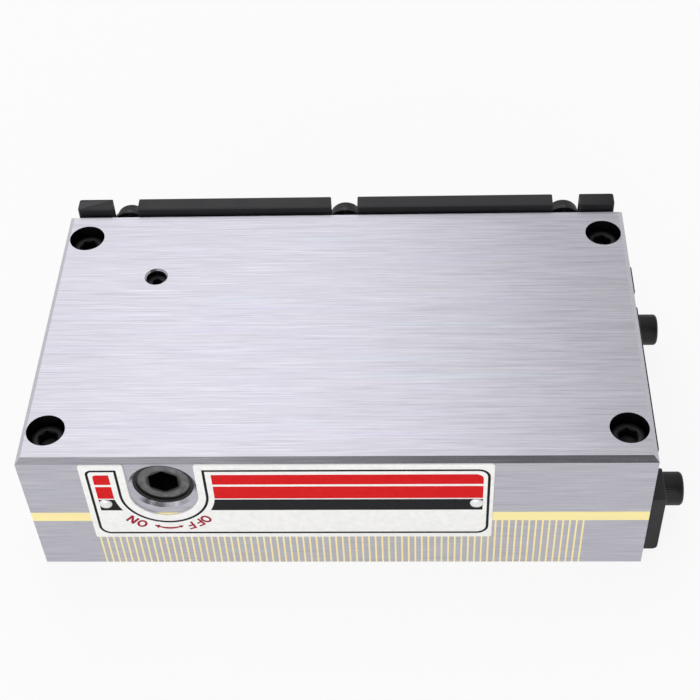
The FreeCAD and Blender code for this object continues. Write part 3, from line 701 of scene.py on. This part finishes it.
def print_border():
    """The frame line, which turns in round the switch."""
    small, corner = LINE_SMALL_CORNER, LINE_CORNER
    path = [(-LINE_U, LINE_TOP)]
    path += arc(small, 90, 180, 6, (LINE_LEFT + small, LINE_TOP - small))
    path += arc(corner, 180, 270, 8, (LINE_LEFT + corner, LINE_LOW + corner))
    path += arc(corner, 270, 360, 8, (LINE_RIGHT - corner, LINE_LOW + corner))
    path += arc(corner, 0, 90, 8, (LINE_RIGHT - corner, LINE_TOP - corner))
    path += [(LINE_U, LINE_TOP)]
    path += arc(LINE_U, 0, -180, 48)
    ribbon("plate_border", metres(path), LINE_WIDE * MM, BLACK)


def band_edge(side, top, low, steps=12):
    """The end of a band beside the switch: straight above its centre, round it below."""
    edge = []
    for k in range(steps + 1):
        v = top + (low - top) * k / steps
        reach = BAND_START if v >= 0 else sqrt(BAND_START * BAND_START - v * v)
        edge.append((side * reach, v))
    return edge


def print_bands():
    """The long bands right of the switch, and the short blocks that go on with them left."""
    for stem, top, low, ink, rounded in BANDS:
        band = band_edge(1, top, low) + [(BAND_RIGHT, low)]
        block = band_edge(-1, top, low) + [(BLOCK_LEFT, low)]
        if rounded:
            band += arc(BAND_ROUND, 0, 90, 8, (BAND_RIGHT - BAND_ROUND, top - BAND_ROUND))
            block += arc(BLOCK_ROUND, 180, 90, 6, (BLOCK_LEFT + BLOCK_ROUND, top - BLOCK_ROUND))
        else:
            band.append((BAND_RIGHT, top))
            block.append((BLOCK_LEFT, top))
        printed("plate_band_" + stem, metres(band), ink)
        printed("plate_block_" + stem, metres(block), ink)


def on_arc(angle, across, up):
    """Turns a letter's own point to its place on the arc below the switch."""
    outward = Vector((sin(radians(angle)), -cos(radians(angle))))
    reading = Vector((-cos(radians(angle)), -sin(radians(angle))))
    return tuple(outward * (LETTER_BASE + up * LETTER_HIGH)
                 + reading * ((across - LETTER_MIDDLE) * LETTER_HIGH))


def print_letters():
    """The words ON and OFF, read from outside the arc."""
    for stem, letter, angle in LETTERS:
        shape = {"O": LETTER_O, "N": LETTER_N, "F": LETTER_F}[letter]
        outline = [on_arc(angle, across, up) for across, up in shape]
        if letter == "O":
            ribbon("plate_" + stem, outline, O_STROKE * LETTER_HIGH, CRIMSON)
        else:
            printed("plate_" + stem, outline, CRIMSON)


def on_arrow(angle, out=0.0):
    """A point on the arrow's arc, out from it by some millimetres."""
    return metres(arc(ARROW_RADIUS + out, angle, angle, 1, ARROW_CENTRE))[0]


def print_arrow():
    stages = range(ARROW_STEPS + 1)
    swing = [on_arrow(ARROW_FROM + ARROW_SWEEP * k / ARROW_STEPS) for k in stages]
    widths = [(ARROW_THIN + ARROW_SWELL * sin(pi * k / ARROW_STEPS)) * MM for k in stages]
    ribbon("plate_arrow", swing, widths, CRIMSON, closed=False)
    for stem, heel, tip, half in ARROW_HEADS:
        head = [on_arrow(tip, TIP_OUT), on_arrow(heel, -half), on_arrow(heel, half)]
        printed("plate_arrow_" + stem, head, CRIMSON)


def make_plate():
    """The plate itself: rounded corners, and a U cut round the switch, with softened edges."""
    left, right = (plate_lo.x - SWITCH.x) / MM, (plate_hi.x - SWITCH.x) / MM
    low, top = (plate_lo.z - SWITCH.z) / MM, (plate_hi.z - SWITCH.z) / MM
    corner, outline = PLATE_CORNER, []
    for start, u, v in ((90, left + corner, top - corner), (180, left + corner, low + corner),
                        (270, right - corner, low + corner), (0, right - corner, top - corner)):
        outline += arc(corner, start, start + 90, 4, (u, v))
    outline += arc(LIP, 90, 180, 6, (CUT + LIP, top - LIP))
    outline += arc(CUT, 0, -180, 40, (0, CUT_RISE))
    outline += arc(LIP, 0, 90, 6, (-CUT - LIP, top - LIP))
    work = bmesh.new()
    front_loop = [work.verts.new((SWITCH.x + u * MM, plate_lo.y, SWITCH.z + v * MM))
                  for u, v in outline]
    back_loop = [work.verts.new((v.co.x, plate_hi.y, v.co.z)) for v in front_loop]
    front = work.faces.new(front_loop)
    work.faces.new(back_loop[::-1])
    for k in range(len(outline)):
        after = (k + 1) % len(outline)
        work.faces.new((front_loop[k], back_loop[k], back_loop[after], front_loop[after]))
    bmesh.ops.recalc_face_normals(work, faces=work.faces)
    bmesh.ops.bevel(work, geom=list(front.edges), offset=PLATE_EDGE, segments=BEVEL_SEGMENTS,
                    affect="EDGES", profile=BEVEL_PROFILE)
    mesh = bpy.data.meshes.new("nameplate_finish")
    work.to_mesh(mesh)
    work.free()
    made = as_object("nameplate_finish", mesh, "block", WHITE,
                     BEVELLED_SHARP)
    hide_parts("nameplate")


print_border()
print_bands()
print_letters()
print_arrow()
make_plate()


# ---------------------------------------------------------------- stage, light and camera

FLOOR_SIDES, FLOOR_REACH, FLOOR_GAP, FLOOR_GLOW = 64, 3.0, 0.05 * MM, 0.88
# The room is white, but darker round one direction, near the camera's: how strong it is in the
# light and in the dark, and the cosines of the angles where the dark starts and is full.
DARK_SIDE = Vector((0.42, -0.72, 0.57)).normalized()
ROOM_LIGHT, ROOM_DARK, DARK_START, DARK_FULL = 0.82, 0.01, 0.80, 0.94

LENS, SENSOR, NEAR, FAR = 74.05, 36.0, 0.01, 20.0
YAW, RISE, ROLL = -0.0681615, radians(47.33015), -0.0574058
OFFSET = Vector((-1.30955, 25.49353, 457.79507)) * MM


def make_floor():
    """A white disc under the work face, which also glows a little to the eye."""
    floor = Shader("studio_floor")
    floor.set(Roughness=0.9, Specular_IOR_Level=0.0)
    grain = floor.cloud(90.0, detail=2.0)
    floor.base(floor.ramp(grain, [(0.3, (0.84, 0.84, 0.84, 1)), (0.7, (0.86, 0.86, 0.86, 1))]))
    rays = floor.node("LightPath").outputs
    seen = floor.math("MAXIMUM", rays["Is Camera Ray"], rays["Is Glossy Ray"])
    seen = floor.math("MAXIMUM", seen, rays["Is Transmission Ray"])
    share = floor.math("MULTIPLY", seen, FLOOR_GLOW)
    glow = floor.node("Emission").outputs[0]
    surface = floor.blend(share, floor.surface.outputs[0], glow)
    floor.join(surface, floor.output.inputs["Surface"])
    rim = [(FLOOR_REACH * cos(2 * pi * k / FLOOR_SIDES),
            FLOOR_REACH * sin(2 * pi * k / FLOOR_SIDES),
            WORK_FACE_Z - FLOOR_GAP) for k in range(FLOOR_SIDES)]
    mesh = bpy.data.meshes.new("floor")
    mesh.from_pydata(rim, [], [tuple(range(FLOOR_SIDES))])
    mesh.materials.append(floor.material)
    plane = bpy.data.objects.new("floor", mesh)
    bpy.context.scene.collection.objects.link(plane)


def make_world():
    """A white background to the eye, and for the light a white room with its dark side."""
    world = bpy.data.worlds.new("studio")
    bpy.context.scene.world = world
    world.use_nodes = True
    room = NodeTree(world.node_tree, "OutputWorld")
    where = room.node("TexCoord").outputs["Generated"]
    toward = room.vectors("DOT_PRODUCT", where, DARK_SIDE, output="Value")
    shaded, white = room.node("Background"), room.node("Background")
    room.join(room.spread(toward, ROOM_LIGHT, ROOM_DARK, DARK_START, DARK_FULL,
                          interpolation_type="SMOOTHSTEP"), shaded.inputs["Strength"])
    white.inputs["Color"].default_value = (1, 1, 1, 1)
    white.inputs["Strength"].default_value = 1.0
    seen = room.node("LightPath").outputs["Is Camera Ray"]
    background = room.blend(seen, shaded.outputs[0], white.outputs[0])
    room.join(background, room.output.inputs["Surface"])


def area_lamp(name, place, aim, size, power):
    lamp = bpy.data.lights.new(name, "AREA")
    lamp.shape = "RECTANGLE"
    lamp.size, lamp.size_y = size
    lamp.energy = power
    holder = bpy.data.objects.new(name, lamp)
    bpy.context.scene.collection.objects.link(holder)
    holder.location = place
    holder.rotation_euler = (Vector(aim) - Vector(place)).to_track_quat("-Z", "Y").to_euler()


def make_camera():
    """A camera that turns round the origin, which lies at OFFSET before it."""
    lens = bpy.data.cameras.new("camera")
    lens.sensor_width, lens.lens = SENSOR, LENS
    lens.clip_start, lens.clip_end = NEAR, FAR
    viewer = bpy.data.objects.new("camera", lens)
    bpy.context.scene.collection.objects.link(viewer)
    turn = (Matrix.Rotation(-YAW, 3, "Z") @ Matrix.Rotation(pi / 2 - RISE, 3, "X")
            @ Matrix.Rotation(ROLL, 3, "Z"))
    eye = turn @ Vector((-OFFSET.x, OFFSET.y, OFFSET.z))
    viewer.matrix_world = Matrix.Translation(eye) @ turn.to_4x4()
    bpy.context.scene.camera = viewer


make_floor()
make_world()
area_lamp("overhead", (-0.16, 0.50, 0.85), (0, 0, 0.03), (0.6, 0.9), 2.6)
area_lamp("front", (-0.10, -0.95, 0.30), (0, -0.05, 0.03), (1.2, 0.35), 4.9)
make_camera()
bpy.context.scene.view_settings.view_transform = "Standard"
